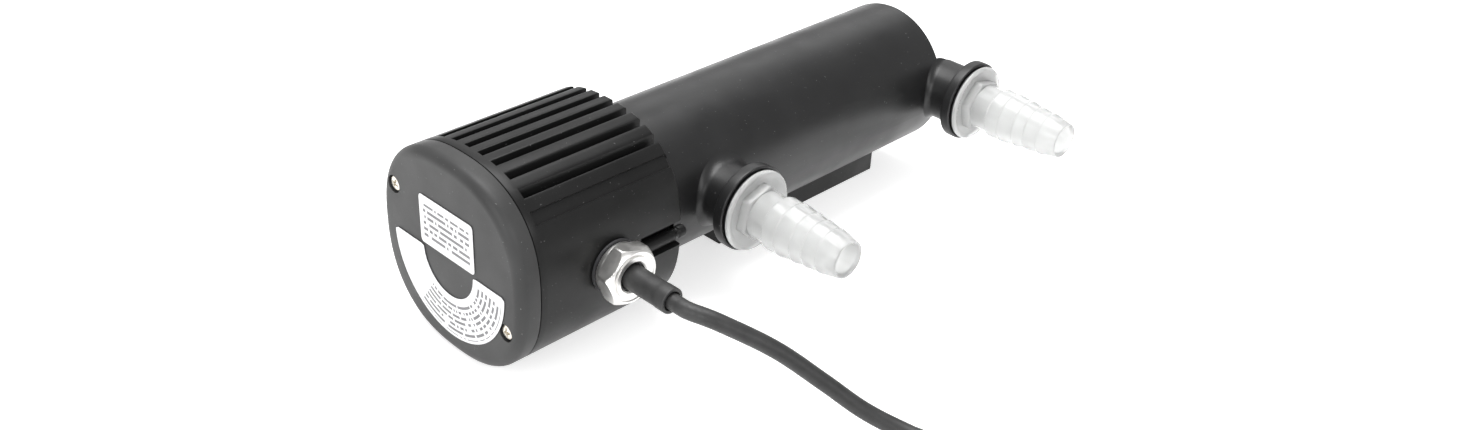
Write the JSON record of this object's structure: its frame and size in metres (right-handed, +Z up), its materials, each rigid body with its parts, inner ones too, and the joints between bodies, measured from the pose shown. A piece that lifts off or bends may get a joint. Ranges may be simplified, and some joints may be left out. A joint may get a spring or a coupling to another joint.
{
  "type": "uv clarifier",
  "caption": "Cylindrical ultraviolet water clarifier with a finned lamp head, stepped hose tails, a mounting foot, and a mains cable with its plug.",
  "frame": {"origin": "middle of the object's plan outline, without the free cable and plug, at the level of its foot", "axes": "+Z up; +X along the tube, from the lamp head to the closed end; the hose tails point to -Y"},
  "size_m": [0.3313, 0.3793, 0.097],
  "materials": {
    "black_abs": "satin black moulded ABS",
    "clear_tail": "translucent frosted moulding",
    "rubber": "matt black rubber",
    "nickel": "bright nickel plate",
    "steel": "pale plated steel",
    "label": "satin white film",
    "quartz": "clear quartz glass",
    "lamp_base": "pale moulded thermoset",
    "ballast": "grey enamel"
  },
  "bodies": {
    "head": {"ballast": "ballast", "cable_boot": "rubber", "cable_coil": "rubber", "cable_end": "rubber", "cover_gasket": "rubber", "cover_screw_1": "steel", "cover_screw_2": "steel", "end_cover": "black_abs", "gland_body": "nickel", "gland_locknut": "nickel", "gland_washer": "rubber", "head_housing": "black_abs", "lampholder": "lamp_base", "lampholder_screw_1": "steel", "lampholder_screw_2": "steel", "notice_label": "label", "plug_body": "rubber", "plug_pin_1": "nickel", "plug_pin_2": "nickel", "plug_relief": "rubber", "power_cable": "rubber", "quartz_sleeve": "quartz", "rating_label": "label", "sleeve_nut": "black_abs", "sleeve_o_ring": "rubber", "terminal_block": "lamp_base"},
    "lamp": {"lamp_base": "lamp_base", "lamp_pin_1": "nickel", "lamp_pin_2": "nickel", "lamp_tubes": "quartz"},
    "lock_pin": {"lock_pin": "black_abs"},
    "gland_seal": {"gland_seal": "rubber"},
    "gland_nut": {"gland_nut": "nickel"},
    "bayonet": {"bayonet_ring": "steel"},
    "tube": {"mounting_foot": "black_abs", "tube_body": "black_abs", "tube_o_ring": "rubber"},
    "inlet_gasket": {"inlet_gasket": "rubber"},
    "inlet_tail": {"inlet_tail": "clear_tail"},
    "outlet_gasket": {"outlet_gasket": "rubber"},
    "outlet_tail": {"outlet_tail": "clear_tail"}
  },
  "joints": [
    {"name": "lamp_pull", "type": "slide", "parent": "head", "child": "lamp", "axis": [1, 0, 0], "range_m": [0, 0.008]},
    {"name": "lock_pin_pull", "type": "slide", "parent": "head", "child": "lock_pin", "axis": [1, 0, 0], "range_m": [0, 0.005], "stiffness_N_per_m": 300, "springref_m": -0.001},
    {"name": "gland_seal_lift", "type": "slide", "parent": "head", "child": "gland_seal", "axis": [0, -1, 0], "range_m": [0, 0.003]},
    {"name": "gland_nut_turn", "type": "hinge", "parent": "gland_seal", "child": "gland_nut", "pos_m": [-0.1077, 0.03242, 0.04821], "axis": [0, -1, 0], "range_deg": [0, 720]},
    {"name": "tube_twist", "type": "hinge", "parent": "head", "child": "bayonet", "pos_m": [-0.0874, 0.03242, 0.04771], "axis": [1, 0, 0], "range_deg": [0, 15]},
    {"name": "tube_pull", "type": "slide", "parent": "bayonet", "child": "tube", "axis": [1, 0, 0], "range_m": [0, 0.21]},
    {"name": "inlet_gasket_lift", "type": "slide", "parent": "tube", "child": "inlet_gasket", "axis": [0, -1, 0], "range_m": [0, 0.0036]},
    {"name": "inlet_tail_turn", "type": "hinge", "parent": "inlet_gasket", "child": "inlet_tail", "pos_m": [-0.0294, 0.03242, 0.04871], "axis": [0, -1, 0], "range_deg": [0, 720]},
    {"name": "outlet_gasket_lift", "type": "slide", "parent": "tube", "child": "outlet_gasket", "axis": [0, -1, 0], "range_m": [0, 0.0036]},
    {"name": "outlet_tail_turn", "type": "hinge", "parent": "outlet_gasket", "child": "outlet_tail", "pos_m": [0.1378, 0.03242, 0.04871], "axis": [0, -1, 0], "range_deg": [0, 720]}
  ],
  "couplings": [
    {"joint": "gland_nut_turn", "follows": "gland_seal_lift", "rad_per_m": 4188.8},
    {"joint": "inlet_tail_turn", "follows": "inlet_gasket_lift", "rad_per_m": 3490.7},
    {"joint": "outlet_tail_turn", "follows": "outlet_gasket_lift", "rad_per_m": 3490.7}
  ]
}
